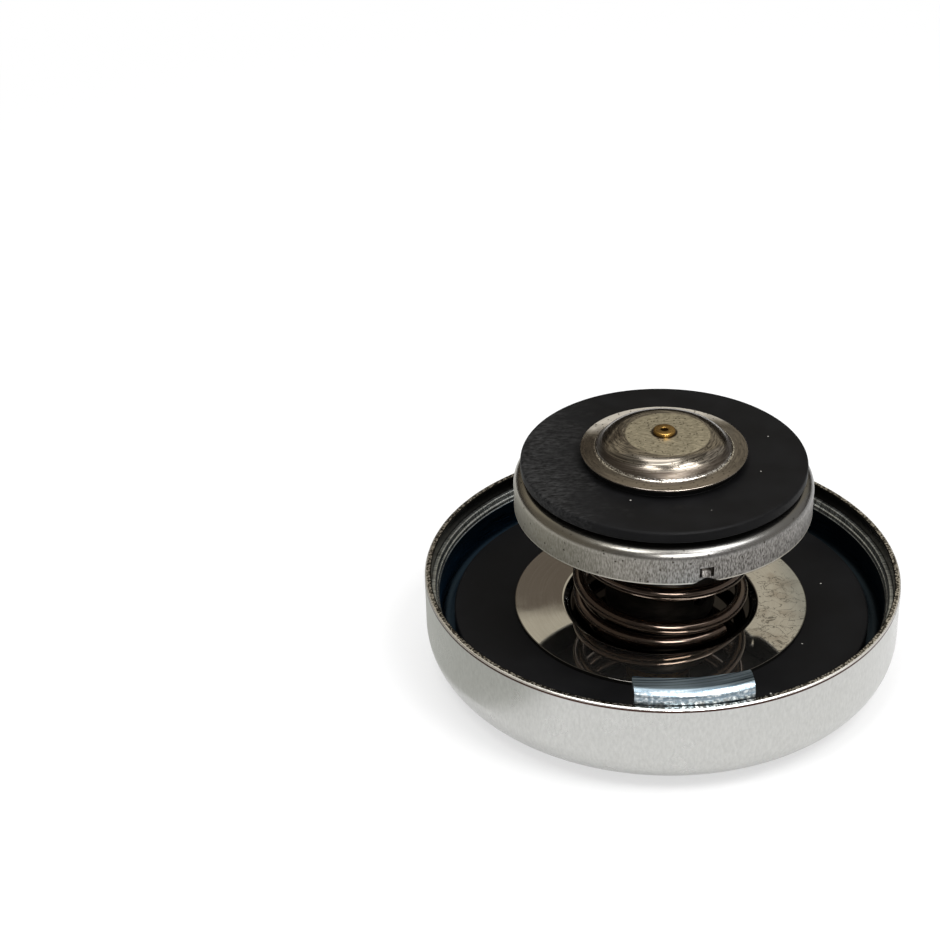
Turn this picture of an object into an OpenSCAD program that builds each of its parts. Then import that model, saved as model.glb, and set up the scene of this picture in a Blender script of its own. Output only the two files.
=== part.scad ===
// Radiator pressure cap of the bayonet type, lying on its outer face with the valve upward.
// Millimetres. The axis of the cap is Z, the two locking tabs lie on -Y and +Y,
// and Z = 0 is the plane of the polished outer face.

/* [Cover] */
// Outside diameter of the polished cover
cover_d = 68; // [64:0.5:72]
// Height of the cover from its face to its rim
cover_h = 14.2; // [13:0.1:16]
// Sheet thickness of the cover
cover_t = 0.9; // [0.7:0.1:1.2]
// Outside radius of the corner between face and wall
cover_corner_r = 6.4; // [4:0.1:7]
// Small bevel left on both sides of the sheared rim
rim_break = 0.12; // [0.05:0.01:0.2]

/* [Locking shell] */
// Sheet thickness of the locking shell
shell_t = 1.1; // [0.8:0.1:1.3]
// Height of the underside of the shell's floor above the cover's face
shell_floor_z = 5; // [4:0.1:5.5]
// Inside radius between the floor and the wall of the shell
shell_corner_r = 1.4; // [0.8:0.1:2]
// How far the shell's wall stays below the rim of the cover
lip_drop = 2; // [1:0.1:3]
// Rounding on the inside of the wall's top edge
lip_round = 1; // [0.5:0.05:1.05]
// Width of a locking tab
tab_w = 15.9; // [12:0.1:20]
// How far a tab reaches inward from the wall
tab_reach = 2.3; // [1.8:0.1:4]
// Height of a tab's top above the rim of the cover
tab_rise = 2; // [0.5:0.1:3]
// Inside radius of the bend at the root of a tab
tab_bend_r = 0.2; // [0.1:0.05:0.6]
// Radius of the inner corners of a tab
tab_corner_r = 1; // [0.4:0.1:1.5]

/* [Neck gasket] */
// Thickness of the rubber gasket that seals on the neck
gasket_t = 2; // [1.5:0.1:3]
// Bore of the gasket
gasket_bore_d = 30; // [29:0.5:34]
// Gap between the gasket's edge and the shell's wall
gasket_gap = 2.1; // [1.4:0.1:3]
// Rounding of the gasket's edges
gasket_round = 0.3; // [0.1:0.05:0.5]

/* [Spring disc] */
// Outside diameter of the bright disc over the gasket
disc_d = 42.2; // [38:0.2:46]
// Sheet thickness of the disc
disc_t = 0.6; // [0.4:0.05:0.8]
// Diameter of the floor of the disc's central dish
dish_d = 26.4; // [26:0.2:28]
// Depth of the dish
dish_depth = 1.05; // [0.3:0.05:1.2]
// Radial width of the slope round the dish
dish_slope = 0.75; // [0.5:0.05:1]

/* [Centre rivet] */
// Diameter of the rivet's shank through the shell and the disc
rivet_d = 6; // [4:0.2:6.4]
// Diameter of the journal that the bell turns on
journal_d = 6.8; // [6.6:0.1:7.4]
// Diameter of the rivet's two heads
rivet_head_d = 11; // [9:0.2:12]
// Height of the rivet's heads
rivet_head_h = 1.3; // [1:0.1:1.6]
// Diameter of the washer that spaces the disc from the shell's floor
spacer_d = 18; // [13:0.5:24]

/* [Bell] */
// Outside diameter of the bell that holds the valve post
bell_d = 15.8; // [15:0.2:17.6]
// Sheet thickness of the bell
bell_t = 0.8; // [0.6:0.1:1]
// Inside radius of the bell's bends
bell_bend_r = 0.5; // [0.3:0.1:0.8]
// Diameter of the holes in the bell's side
bell_vent_d = 3; // [1.5:0.1:3.6]
// Number of holes in the bell's side
bell_vents = 2; // [2:1:6]
// Direction of the first hole, counted from the near tab towards +X
bell_vent_angle = 39; // [0:1:180]

/* [Pressure spring] */
// Diameter of the pressure spring's wire
spring_wire = 1.9; // [1.5:0.05:2.1]
// Outside diameter of the pressure spring
spring_d = 25.3; // [24:0.1:25.6]
// Turns between the two closed end turns
spring_turns = 2.6; // [2:0.1:4]
// Direction of the wire's lower end, counted from the near tab towards +X
spring_end_angle = 40.6; // [0:0.1:360]

/* [Valve cup] */
// Free reach from the neck gasket to the face of the pressure seal
reach = 24.35; // [22:0.05:27]
// Travel of the pressure valve against its spring
valve_travel = 5; // [3:0.1:5.5]
// Outside diameter of the cup's skirt
cup_d = 42; // [40.6:0.1:44]
// Sheet thickness of the cup
cup_t = 0.6; // [0.5:0.05:0.8]
// Diameter at which the platform under the seal starts to step down
platform_d = 35; // [31:0.2:36.4]
// Height of the step from the shoulder to the platform
platform_h = 0.8; // [0.7:0.05:1.2]
// Outside radius of the cup's shoulder
shoulder_r = 1.6; // [0.9:0.05:1.8]
// Height of the cup from its shoulder to the edge of its skirt
skirt_h = 5.1; // [4:0.1:6]
// Number of nibs lanced inward from the skirt
nibs = 3; // [2:1:4]
// Width of a nib
nib_w = 1.3; // [1:0.1:2]
// Height of a nib's top above the edge of the skirt
nib_h = 2; // [1.2:0.1:2.4]
// How far the lower end of a nib is drawn up from the edge of the skirt
nib_rise = 0.7; // [0.2:0.05:0.8]
// How far a nib is pushed inward
nib_push = 0.45; // [0.3:0.05:0.5]
// Width of skirt that is drawn in with a nib on each side
nib_root = 0.12; // [0.05:0.01:0.3]
// Height of the slit above a nib
nib_slit = 0.15; // [0.05:0.05:0.3]
// Direction of the first nib, counted from the near tab towards +X
nib_angle = 8.2; // [0:0.1:120]

/* [Spring seat] */
// Thickness of the plate that the spring bears on inside the cup
seat_t = 0.8; // [0.5:0.1:1]
// Bore of the plate
seat_bore_d = 18.4; // [16:0.1:21]
// Depth of the collar round the spring that centres it
seat_collar_h = 1.6; // [0.8:0.1:2]

/* [Pressure seal] */
// Outside diameter of the pressure seal
seal_d = 40; // [38:0.1:41.5]
// Thickness of the pressure seal
seal_t = 1.65; // [1.2:0.05:2.4]
// Rounding of the seal's edges
seal_round = 0.25; // [0.1:0.05:0.4]
// Mean diameter of the raised lip under the vacuum valve
seal_lip_d = 20.4; // [20:0.1:21]
// Width of the raised lip
seal_lip_w = 1.4; // [1:0.1:1.8]
// Height of the raised lip above the seal's face
seal_lip_h = 1; // [0.6:0.05:1.4]
// Diameter of the washer that holds the seal down
washer_d = 17.2; // [14:0.1:18]
// Thickness of that washer
washer_t = 0.8; // [0.5:0.1:0.9]

/* [Valve post] */
// Outside diameter of the post's tube
post_d = 9.4; // [8.6:0.1:9.6]
// Wall of the post's tube
post_wall = 0.8; // [0.6:0.05:1]
// Thickness of the flange that stops under the bell's lip
stop_t = 1; // [0.8:0.1:1.5]
// Diameter of the collar under the cup
collar_d = 13; // [11:0.1:15]
// Thickness of the collar
collar_t = 1; // [0.6:0.1:1.5]
// Height of the rim peened over the seal's washer
peen_h = 0.65; // [0.4:0.05:0.8]
// How far the peened rim spreads over the washer
peen_spread = 0.8; // [0.5:0.05:1]
// Thickness of the web that guides the vacuum stem
web_t = 1.2; // [0.8:0.1:2]
// Diameter of the vent holes in the web
web_vent_d = 1.2; // [0.8:0.1:1.3]
// Number of vent holes in the web
web_vents = 6; // [3:1:8]

/* [Vacuum valve] */
// Diameter of the vacuum hat's brim
hat_d = 23.3; // [22.6:0.1:24.5]
// Sheet thickness of the hat
hat_t = 0.5; // [0.35:0.05:0.6]
// Height of the hat's dome above its brim
dome_h = 2.3; // [1.9:0.05:3]
// Diameter of the flat on top of the dome
dome_flat_d = 12; // [10:0.1:12.6]
// Outside radius of the dome's round edge
dome_edge_r = 3.8; // [3.4:0.05:4]
// Outside radius between the dome and the brim
dome_root_r = 0.5; // [0.3:0.05:0.6]
// Diameter of the hollow vacuum stem
stem_d = 2; // [1.8:0.05:2.4]
// Bore of the vacuum stem
stem_bore_d = 1; // [0.6:0.05:1.1]
// Diameter of the stem's head on the hat
stem_head_d = 3.1; // [2.8:0.05:4]
// Height of the stem's head
stem_head_h = 0.5; // [0.3:0.05:0.8]
// Height of the shoulder under the hat
stem_shoulder_h = 0.9; // [0.5:0.05:1]
// Height of the end peened under the keeper
stem_end_h = 0.4; // [0.3:0.05:0.6]
// Diameter of the keeper at the stem's lower end
keeper_d = 6.4; // [5.6:0.1:6.6]
// Thickness of the keeper
keeper_t = 0.6; // [0.4:0.05:1]
// Length of the vacuum spring between the web and the keeper
vacuum_spring_h = 5; // [4.6:0.1:5.4]
// Diameter of the vacuum spring's wire
vacuum_wire = 0.5; // [0.35:0.05:0.55]
// Outside diameter of the vacuum spring
vacuum_spring_d = 5.4; // [5:0.1:5.8]
// Turns of the vacuum spring
vacuum_turns = 5; // [4:0.5:5]

/* [Clearances] */
// Gap of the press fit between the shell's wall and the cover
press_gap = 0.02; // [0.01:0.01:0.05]
// Gap round the journal of the bell
journal_gap = 0.1; // [0.05:0.01:0.1]
// Gap above and below the bell's floor
swivel_gap = 0.1; // [0.05:0.01:0.2]
// Gap between the post and the bell's lip
slide_gap = 0.3; // [0.2:0.05:0.4]
// Gap between the post's stop flange and the bell's wall
flange_gap = 0.4; // [0.3:0.05:0.6]
// Gap between the stop flange and the bell's lip when the valve is closed
stop_gap = 0.1; // [0.05:0.01:0.2]
// Gap left under the stop flange at full travel
end_gap = 0.5; // [0.3:0.05:1]
// Gap at both ends of a coil spring
spring_gap = 0.1; // [0.05:0.01:0.15]
// Gap round the edge of the spring seat, and between its collar and the spring
seat_fit = 0.35; // [0.2:0.05:0.5]
// Gap between touching turns of a spring
turn_gap = 0.1; // [0.05:0.01:0.2]
// Gap round the vacuum stem in its guide
guide_gap = 0.1; // [0.05:0.01:0.1]
// Gap between the hat's brim and the seal's lip when the valve is closed
hat_gap = 0.05; // [0.03:0.01:0.1]

/* [Hidden] */
$fn = 96;

// The cap's own stack, from the face upward
cover_r = cover_d / 2;
shell_r = cover_r - cover_t - press_gap;
shell_wall_r = shell_r - shell_t;
shell_floor_top = shell_floor_z + shell_t;
lip_z = cover_h - lip_drop;
tab_top = cover_h + tab_rise;
tab_in_r = shell_wall_r - tab_reach;
gasket_top = shell_floor_top + gasket_t;
disc_top = gasket_top + disc_t;
dish_top = disc_top - dish_depth;
dish_under = gasket_top - dish_depth;

// The bell on its rivet
bell_r = bell_d / 2;
bell_in_r = bell_r - bell_t;
bell_floor_z = dish_top + swivel_gap;
bell_floor_top = bell_floor_z + bell_t;
rivet_top_z = bell_floor_top + swivel_gap;
stop_z = rivet_top_z + rivet_head_h + end_gap + valve_travel;
bell_lip_z = stop_z + stop_t + stop_gap;
bell_top = bell_lip_z + bell_t;
bell_mouth_r = post_d / 2 + slide_gap;

// The pressure valve, from its seal downward
seal_face = gasket_top + reach;
platform_top = seal_face - seal_t;
shoulder_top = platform_top - platform_h;
skirt_z = shoulder_top - skirt_h;
cup_r = cup_d / 2;
cup_in_r = cup_r - cup_t;
seat_top = shoulder_top - cup_t;
seat_z = seat_top - seat_t;
post_r = post_d / 2;
post_bore_r = post_r - post_wall;
post_top = seal_face + washer_t + peen_h;

// The vacuum valve, from its brim
brim_z = seal_face + seal_lip_h + hat_gap;
brim_top = brim_z + hat_t;
dome_top = brim_top + dome_h;
stem_r = stem_d / 2;
web_top = platform_top;
web_z = web_top - web_t;
keeper_top = web_z - vacuum_spring_h;
keeper_z = keeper_top - keeper_t;
vent_circle_r = (stem_r + guide_gap + post_bore_r) / 2;

// A rectangle of the half section, from radius r1 to r2 and from height z1 to z2
module block(r1, r2, z1, z2) {
    translate([r1, z1]) square([r2 - r1, z2 - z1]);
}

// A quarter of a bent sheet about (r, z), in the quarter given by the signs sr and sz
module bend(r, z, inside, outside, sr, sz) {
    translate([r, z]) intersection() {
        difference() {
            circle(outside);
            circle(inside);
        }
        translate([min(sr, 0) * outside, min(sz, 0) * outside]) square(outside);
    }
}

// A rectangle of the half section with all four corners rounded
module round_block(r1, r2, z1, z2, round) {
    block(r1 + round, r2 - round, z1, z2);
    block(r1, r2, z1 + round, z2 - round);
    for (r = [r1 + round, r2 - round], z = [z1 + round, z2 - round]) translate([r, z]) circle(round);
}

// A ring of points of a round wire whose centre is at (radius, angle, z)
function wire_ring(radius, angle, z, wire, sides) = [
    for (k = [0 : sides - 1])
        let (a = 360 * k / sides, r = radius + wire / 2 * cos(a))
        [r * cos(angle), r * sin(angle), z + wire / 2 * sin(a)]
];

// Faces that join rings of wire and close both ends of the tube
function tube_faces(rings, sides) = concat(
    [[for (k = [0 : sides - 1]) k]],
    [for (i = [0 : rings - 2], k = [0 : sides - 1])
        let (n = (k + 1) % sides)
        [i * sides + k, (i + 1) * sides + k, (i + 1) * sides + n, i * sides + n]],
    [[for (k = [sides - 1 : -1 : 0]) (rings - 1) * sides + k]]
);

// Height of the wire after u turns of a spring with one closed turn at each end
function coil_z(u, turns, closed, pitch) =
    closed * min(u, 1) + pitch * max(0, min(u - 1, turns)) + closed * max(0, u - 1 - turns);

// A left-hand coil spring from z1 to z2 that starts at an angle
module coil(z1, z2, outside_d, wire, turns, start, sides, steps) {
    closed = wire + turn_gap;
    pitch = (z2 - z1 - wire - 2 * closed) / turns;
    all_turns = turns + 2;
    rings = ceil(all_turns * steps) + 1;
    points = [
        for (i = [0 : rings - 1])
            let (u = all_turns * i / (rings - 1))
            each wire_ring(outside_d / 2 - wire / 2, start - 360 * u,
                           z1 + wire / 2 + coil_z(u, turns, closed, pitch), wire, sides)
    ];
    polyhedron(points, tube_faces(rings, sides), convexity = 10);
}

// Drawn cover with a flat face, a round corner and a sheared rim
module cover() {
    wall_z = cover_corner_r;
    face_r = cover_r - cover_corner_r;
    color("#c8c7c2") rotate_extrude() {
        block(0, face_r, 0, cover_t);
        bend(face_r, wall_z, cover_corner_r - cover_t, cover_corner_r, 1, -1);
        polygon([[cover_r - cover_t, wall_z], [cover_r, wall_z], [cover_r, cover_h - rim_break],
                 [cover_r - rim_break, cover_h], [cover_r - cover_t + rim_break, cover_h],
                 [cover_r - cover_t, cover_h - rim_break]]);
    }
}

// Section of the shell's wall where it runs up into a tab
module tab_section() {
    bend_r = shell_wall_r - tab_bend_r;
    bend_z = tab_top - shell_t - tab_bend_r;
    block(shell_wall_r, shell_r, lip_z - lip_round, bend_z);
    bend(bend_r, bend_z, tab_bend_r, tab_bend_r + shell_t, 1, 1);
    block(tab_in_r, bend_r, tab_top - shell_t, tab_top);
}

// Outline of a tab from above, with its two inner corners rounded
module tab_plan() {
    half = tab_w / 2;
    corner_y = sqrt(tab_in_r * tab_in_r - half * half) + tab_corner_r;
    translate([-half, corner_y]) square([tab_w, shell_r]);
    translate([-half + tab_corner_r, 0]) square([tab_w - 2 * tab_corner_r, shell_r]);
    for (x = [tab_corner_r - half, half - tab_corner_r]) translate([x, corner_y]) circle(tab_corner_r);
}

// Pressed shell with a rounded lip and two tabs that hook under the neck's cams
module locking_shell() {
    corner_r = shell_wall_r - shell_corner_r;
    corner_z = shell_floor_top + shell_corner_r;
    color("#9aa9b5") {
        rotate_extrude() {
            block(rivet_d / 2, corner_r, shell_floor_z, shell_floor_top);
            bend(corner_r, corner_z, shell_corner_r, shell_corner_r + shell_t, 1, -1);
            block(shell_wall_r, shell_r, corner_z, lip_z - lip_round);
            block(shell_wall_r + lip_round, shell_r, lip_z - lip_round, lip_z);
            bend(shell_wall_r + lip_round, lip_z - lip_round, 0, lip_round, -1, 1);
        }
        for (turn = [0, 180]) rotate(turn) intersection() {
            rotate_extrude() tab_section();
            linear_extrude(tab_top + shell_t) tab_plan();
        }
    }
}

// Rubber ring that seals on the top of the neck
module neck_gasket() {
    color("#191919") rotate_extrude()
        round_block(gasket_bore_d / 2, shell_wall_r - gasket_gap, shell_floor_top, gasket_top, gasket_round);
}

// Polished disc over the gasket, dished where the spring stands on it
module spring_disc() {
    dish_r = dish_d / 2;
    rise_r = dish_r + dish_slope;
    color("#b5b0a6") rotate_extrude()
        polygon([[rivet_d / 2, dish_under], [dish_r, dish_under], [rise_r, gasket_top], [disc_d / 2, gasket_top],
                 [disc_d / 2, disc_top], [rise_r, disc_top], [dish_r, dish_top], [rivet_d / 2, dish_top]]);
}

// Washer between the shell's floor and the dish
module spacer_washer() {
    color("#8d9298") rotate_extrude() block(rivet_d / 2, spacer_d / 2, shell_floor_top, dish_under);
}

// Rivet that clamps shell, washer and disc, with a journal for the bell under its upper head
module centre_rivet() {
    head_r = rivet_head_d / 2;
    edge = rivet_head_h / 2;
    color("#9b968c") rotate_extrude() {
        block(0, head_r - edge, shell_floor_z - rivet_head_h, shell_floor_z);
        bend(head_r - edge, shell_floor_z - edge, 0, edge, 1, -1);
        block(0, head_r, shell_floor_z - edge, shell_floor_z);
        block(0, rivet_d / 2, shell_floor_z, dish_top);
        block(0, journal_d / 2, dish_top, rivet_top_z);
        block(0, head_r, rivet_top_z, rivet_top_z + edge);
        block(0, head_r - edge, rivet_top_z, rivet_top_z + rivet_head_h);
        bend(head_r - edge, rivet_top_z + edge, 0, edge, 1, 1);
    }
}

// Drawn bell whose mouth is rolled inward over the post's stop flange
module bell() {
    bend_r = bell_in_r - bell_bend_r;
    outside = bell_bend_r + bell_t;
    vent_z = (bell_floor_top + bell_lip_z) / 2;
    color("#4c4a48") difference() {
        rotate_extrude() {
            block(journal_d / 2 + journal_gap, bend_r, bell_floor_z, bell_floor_top);
            bend(bend_r, bell_floor_top + bell_bend_r, bell_bend_r, outside, 1, -1);
            block(bell_in_r, bell_r, bell_floor_top + bell_bend_r, bell_lip_z - bell_bend_r);
            bend(bend_r, bell_lip_z - bell_bend_r, bell_bend_r, outside, 1, 1);
            block(bell_mouth_r, bend_r, bell_lip_z, bell_top);
        }
        for (k = [0 : bell_vents - 1]) rotate(bell_vent_angle - 90 + 360 * k / bell_vents)
            translate([0, 0, vent_z]) rotate([0, 90, 0]) cylinder(h = bell_d, d = bell_vent_d);
    }
}

// Left-hand wire spring that holds the pressure valve closed
module pressure_spring() {
    color("#5b4636") coil(dish_top + spring_gap, seat_z - spring_gap, spring_d, spring_wire, spring_turns,
                          spring_end_angle - 90, 10, 28);
}

// One nib: a piece of the skirt, sheared free above and pushed inward
module nib() {
    width = nib_w + 2 * nib_root;
    intersection() {
        rotate_extrude() block(cup_in_r - nib_push, cup_r - nib_push, skirt_z + nib_rise, skirt_z + nib_h);
        translate([cup_in_r / 2, -width / 2, skirt_z]) cube([cup_r, width, nib_h + cup_t]);
    }
}

// Drawn cup with a raised platform for the seal, a round shoulder and a skirt
module valve_cup() {
    step_mid = platform_h / 2;
    step_in = step_mid - cup_t / 2;
    step_out = step_mid + cup_t / 2;
    platform_r = platform_d / 2;
    step_r = platform_r + platform_h;
    step_z = platform_top - step_out;
    shoulder_in = cup_r - shoulder_r;
    color("#989591") {
        difference() {
            rotate_extrude() {
                block(post_r, platform_r, platform_top - cup_t, platform_top);
                bend(platform_r, step_z, step_in, step_out, 1, 1);
                bend(step_r, step_z, step_in, step_out, -1, -1);
                block(step_r, shoulder_in, shoulder_top - cup_t, shoulder_top);
                bend(shoulder_in, shoulder_top - shoulder_r, shoulder_r - cup_t, shoulder_r, 1, 1);
                block(cup_in_r, cup_r, skirt_z, shoulder_top - shoulder_r);
            }
            for (k = [0 : nibs - 1]) rotate(nib_angle - 90 + 360 * k / nibs)
                translate([cup_in_r - cup_t, -nib_w / 2, skirt_z - cup_t])
                    cube([3 * cup_t, nib_w, cup_t + nib_h + nib_slit]);
        }
        for (k = [0 : nibs - 1]) rotate(nib_angle - 90 + 360 * k / nibs) nib();
    }
}

// Plate inside the cup that the spring bears on: its edge is coned to clear the round of the shoulder,
// and a collar round the spring centres it
module spring_seat() {
    bore_r = seat_bore_d / 2;
    edge_r = cup_in_r - seat_fit;
    flat_r = cup_r - shoulder_r - seat_fit;
    collar_in_r = spring_d / 2 + seat_fit;
    color("#7f7b76") rotate_extrude() {
        polygon([[bore_r, seat_z], [edge_r, seat_z], [flat_r, seat_top], [bore_r, seat_top]]);
        block(collar_in_r, collar_in_r + seat_t, seat_z - seat_collar_h, seat_z);
    }
}

// Rubber seal of the pressure valve, with a lip that the vacuum hat closes on
module pressure_seal() {
    lip_r = seal_lip_d / 2;
    half = seal_lip_w / 2;
    color("#1f1f1f") rotate_extrude() {
        block(post_r, seal_d / 2 - seal_round, platform_top, seal_face);
        round_block(seal_d / 4, seal_d / 2, platform_top, seal_face, seal_round);
        round_block(lip_r - half, lip_r + half, seal_face - seal_round, seal_face + seal_lip_h, seal_round);
    }
}

// Washer that holds the seal down on the platform
module seal_washer() {
    color("#8f8a80") rotate_extrude() block(post_r, washer_d / 2, seal_face, seal_face + washer_t);
}

// Turned post: stop flange, tube, collar under the cup, guide web and a rim peened over the washer
module valve_post() {
    stop_r = bell_in_r - flange_gap;
    collar_top = platform_top - cup_t;
    peen_z = seal_face + washer_t;
    color("#a0906a") difference() {
        rotate_extrude() {
            block(post_bore_r, stop_r, stop_z, stop_z + stop_t);
            block(post_bore_r, post_r, stop_z, post_top);
            block(post_bore_r, collar_d / 2, collar_top - collar_t, collar_top);
            block(post_bore_r, post_r + peen_spread - peen_h, peen_z, post_top);
            bend(post_r + peen_spread - peen_h, peen_z, 0, peen_h, 1, 1);
            block(stem_r + guide_gap, post_bore_r, web_z, web_top);
        }
        for (k = [0 : web_vents - 1]) rotate(360 * k / web_vents)
            translate([vent_circle_r, 0, web_z - web_t]) cylinder(h = 3 * web_t, d = web_vent_d);
    }
}

// Fine spring that holds the vacuum hat closed
module vacuum_spring() {
    color("#a8a49c") coil(keeper_top + spring_gap, web_z - spring_gap, vacuum_spring_d, vacuum_wire,
                          vacuum_turns - 2, 0, 8, 18);
}

// Points of an arc about (r, z), from angle a1 to angle a2
function arc(r, z, radius, a1, a2, steps) = [
    for (k = [0 : steps])
        let (a = a1 + (a2 - a1) * k / steps)
        [r + radius * cos(a), z + radius * sin(a)]
];

// Pressed hat whose brim closes on the seal's lip
module vacuum_hat() {
    flat_r = dome_flat_d / 2;
    edge_z = dome_top - dome_edge_r;
    root_z = brim_top + dome_root_r;
    span = dome_edge_r + dome_root_r;
    root_r = flat_r + sqrt(span * span - (root_z - edge_z) * (root_z - edge_z));
    slant = atan2(root_z - edge_z, root_r - flat_r);
    outline = concat(
        [[stem_r, dome_top]],
        arc(flat_r, edge_z, dome_edge_r, 90, slant, 10),
        arc(root_r, root_z, dome_root_r, 180 + slant, 270, 5),
        [[hat_d / 2, brim_top], [hat_d / 2, brim_z]],
        arc(root_r, root_z, dome_root_r + hat_t, 270, 180 + slant, 5),
        arc(flat_r, edge_z, dome_edge_r - hat_t, slant, 90, 10),
        [[stem_r, dome_top - hat_t]]
    );
    color("#8c8573") rotate_extrude() polygon(outline);
}

// Hollow brass stem, headed over the hat and peened under the keeper
module vacuum_stem() {
    head_r = stem_head_d / 2;
    hat_under = dome_top - hat_t;
    edge = stem_head_h / 2;
    color("#b8893a") rotate_extrude() {
        block(stem_bore_d / 2, stem_r, keeper_z - stem_end_h, dome_top);
        block(stem_bore_d / 2, head_r, dome_top, dome_top + edge);
        block(stem_bore_d / 2, head_r - edge, dome_top, dome_top + stem_head_h);
        bend(head_r - edge, dome_top + edge, 0, edge, 1, 1);
        block(stem_bore_d / 2, head_r, hat_under - stem_shoulder_h, hat_under);
        block(stem_bore_d / 2, stem_r + stem_end_h, keeper_z - stem_end_h, keeper_z);
    }
}

// Small washer that carries the vacuum spring on the stem's end
module stem_keeper() {
    color("#97928a") rotate_extrude() block(stem_r, keeper_d / 2, keeper_z, keeper_top);
}

cover();
locking_shell();
neck_gasket();
spring_disc();
spacer_washer();
centre_rivet();
bell();
pressure_spring();
valve_cup();
spring_seat();
pressure_seal();
seal_washer();
valve_post();
vacuum_spring();
vacuum_hat();
vacuum_stem();
stem_keeper();
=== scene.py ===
"""Looks of a radiator pressure cap that lies on its polished face, with the valve upward."""
import math

import bpy
from mathutils import Matrix, Vector


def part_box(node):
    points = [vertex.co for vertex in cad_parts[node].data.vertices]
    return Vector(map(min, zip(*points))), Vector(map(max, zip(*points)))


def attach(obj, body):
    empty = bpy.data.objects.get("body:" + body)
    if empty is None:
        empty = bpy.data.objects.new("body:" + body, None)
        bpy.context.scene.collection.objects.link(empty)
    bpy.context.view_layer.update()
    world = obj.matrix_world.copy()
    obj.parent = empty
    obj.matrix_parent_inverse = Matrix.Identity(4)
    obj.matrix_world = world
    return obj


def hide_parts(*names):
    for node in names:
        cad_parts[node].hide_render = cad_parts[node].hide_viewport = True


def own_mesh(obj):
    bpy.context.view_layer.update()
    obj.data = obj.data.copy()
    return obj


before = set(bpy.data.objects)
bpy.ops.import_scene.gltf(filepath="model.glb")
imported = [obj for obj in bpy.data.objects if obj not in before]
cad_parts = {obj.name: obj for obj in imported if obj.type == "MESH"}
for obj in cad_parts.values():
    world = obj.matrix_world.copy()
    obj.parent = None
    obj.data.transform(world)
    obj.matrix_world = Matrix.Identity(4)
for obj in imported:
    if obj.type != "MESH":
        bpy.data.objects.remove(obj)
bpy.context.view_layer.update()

# Cover
# The outer cover is one cup drawn from sheet steel, chrome plated and buffed.
# Its rim is left as sheared, and the locking shell is pressed into it.
mm = 0.001
cover_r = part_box("cover")[1].x / mm
rim_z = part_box("cover")[1].z / mm
cover_t = 0.9
cover_corner_r = 6.4
rim_outer_round = 0.3
rim_inner_round = 0.15
cover_in_r = cover_r - cover_t
same_place = 1e-3


def select_vertices(piece, wanted):
    """Selects, in edit mode, only the vertices whose place in millimetres passes the test."""
    bpy.ops.mesh.select_mode(type="VERT")
    bpy.ops.mesh.select_all(action="DESELECT")
    bpy.ops.object.mode_set(mode="OBJECT")
    for vertex in piece.data.vertices:
        vertex.select = wanted(vertex.co / mm)
    bpy.ops.object.mode_set(mode="EDIT")


def draw_section(name, corners, closed=True, arc_segments=8):
    """Draws half of a round piece's section by extruding one point from corner to corner.
    A corner is (radius, height) or (radius, height, rounding) in millimetres. A long side gets a point
    beside each rounded end, which keeps its shading straight."""
    long_side = 1
    beside = 0.1
    path = [corners[0]]
    for last, corner in zip(corners, corners[1:]):
        start, end = Vector(last[:2]), Vector(corner[:2])
        along = (end - start).normalized()
        if (end - start).length - sum(last[2:]) - sum(corner[2:]) > long_side:
            if len(last) == 3:
                path.append(start + along * (last[2] + beside))
            if len(corner) == 3:
                path.append(end - along * (corner[2] + beside))
        path.append(corner)
    bpy.ops.object.select_all(action="DESELECT")
    bpy.ops.mesh.primitive_plane_add(size=mm, location=(corners[0][0] * mm, 0, corners[0][1] * mm))
    piece = bpy.context.object
    piece.name = name
    bpy.ops.object.transform_apply()
    bpy.ops.object.mode_set(mode="EDIT")
    bpy.ops.mesh.merge(type="CENTER")
    for last, corner in zip(path, path[1:]):
        step = ((corner[0] - last[0]) * mm, 0, (corner[1] - last[1]) * mm)
        bpy.ops.mesh.extrude_region_move(TRANSFORM_OT_translate={"value": step})
    if closed:
        ends = [Vector((c[0], 0, c[1])) for c in (corners[0], corners[-1])]
        select_vertices(piece, lambda place: min((place - end).length for end in ends) < same_place)
        bpy.ops.mesh.edge_face_add()
        bpy.ops.mesh.delete(type="ONLY_FACE")
    for corner in corners:
        if len(corner) == 3:
            point = Vector((corner[0], 0, corner[1]))
            select_vertices(piece, lambda place: (place - point).length < same_place)
            bpy.ops.mesh.bevel(affect="VERTICES", offset=corner[2] * mm, segments=arc_segments,
                               profile=0.5)
    return piece


def close_mesh(piece, smooth_angle=35, weld=1e-7):
    """Merges doubles, turns the faces outward and shades the piece smooth up to an angle."""
    bpy.ops.mesh.select_all(action="SELECT")
    bpy.ops.mesh.remove_doubles(threshold=weld)
    bpy.ops.mesh.normals_make_consistent(inside=False)
    bpy.ops.object.mode_set(mode="OBJECT")
    bpy.ops.object.select_all(action="DESELECT")
    piece.select_set(True)
    bpy.context.view_layer.objects.active = piece
    bpy.ops.object.shade_smooth_by_angle(angle=math.radians(smooth_angle))
    return piece


def spin_section(name, corners, closed=True, steps=240, arc_segments=8):
    """A round piece: its half section, spun a full turn about the cap's axis."""
    piece = draw_section(name, corners, closed, arc_segments)
    bpy.ops.mesh.select_all(action="SELECT")
    bpy.ops.mesh.spin(steps=steps, angle=math.tau, center=(0, 0, 0), axis=(0, 0, 1))
    return close_mesh(piece)


def srgb(code):
    """A hex colour as the linear colour that a shader socket takes."""
    channels = [int(code[k:k + 2], 16) / 255 for k in (1, 3, 5)]
    linear = [c / 12.92 if c <= 0.04045 else ((c + 0.055) / 1.055) ** 2.4 for c in channels]
    return (*linear, 1)


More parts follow.
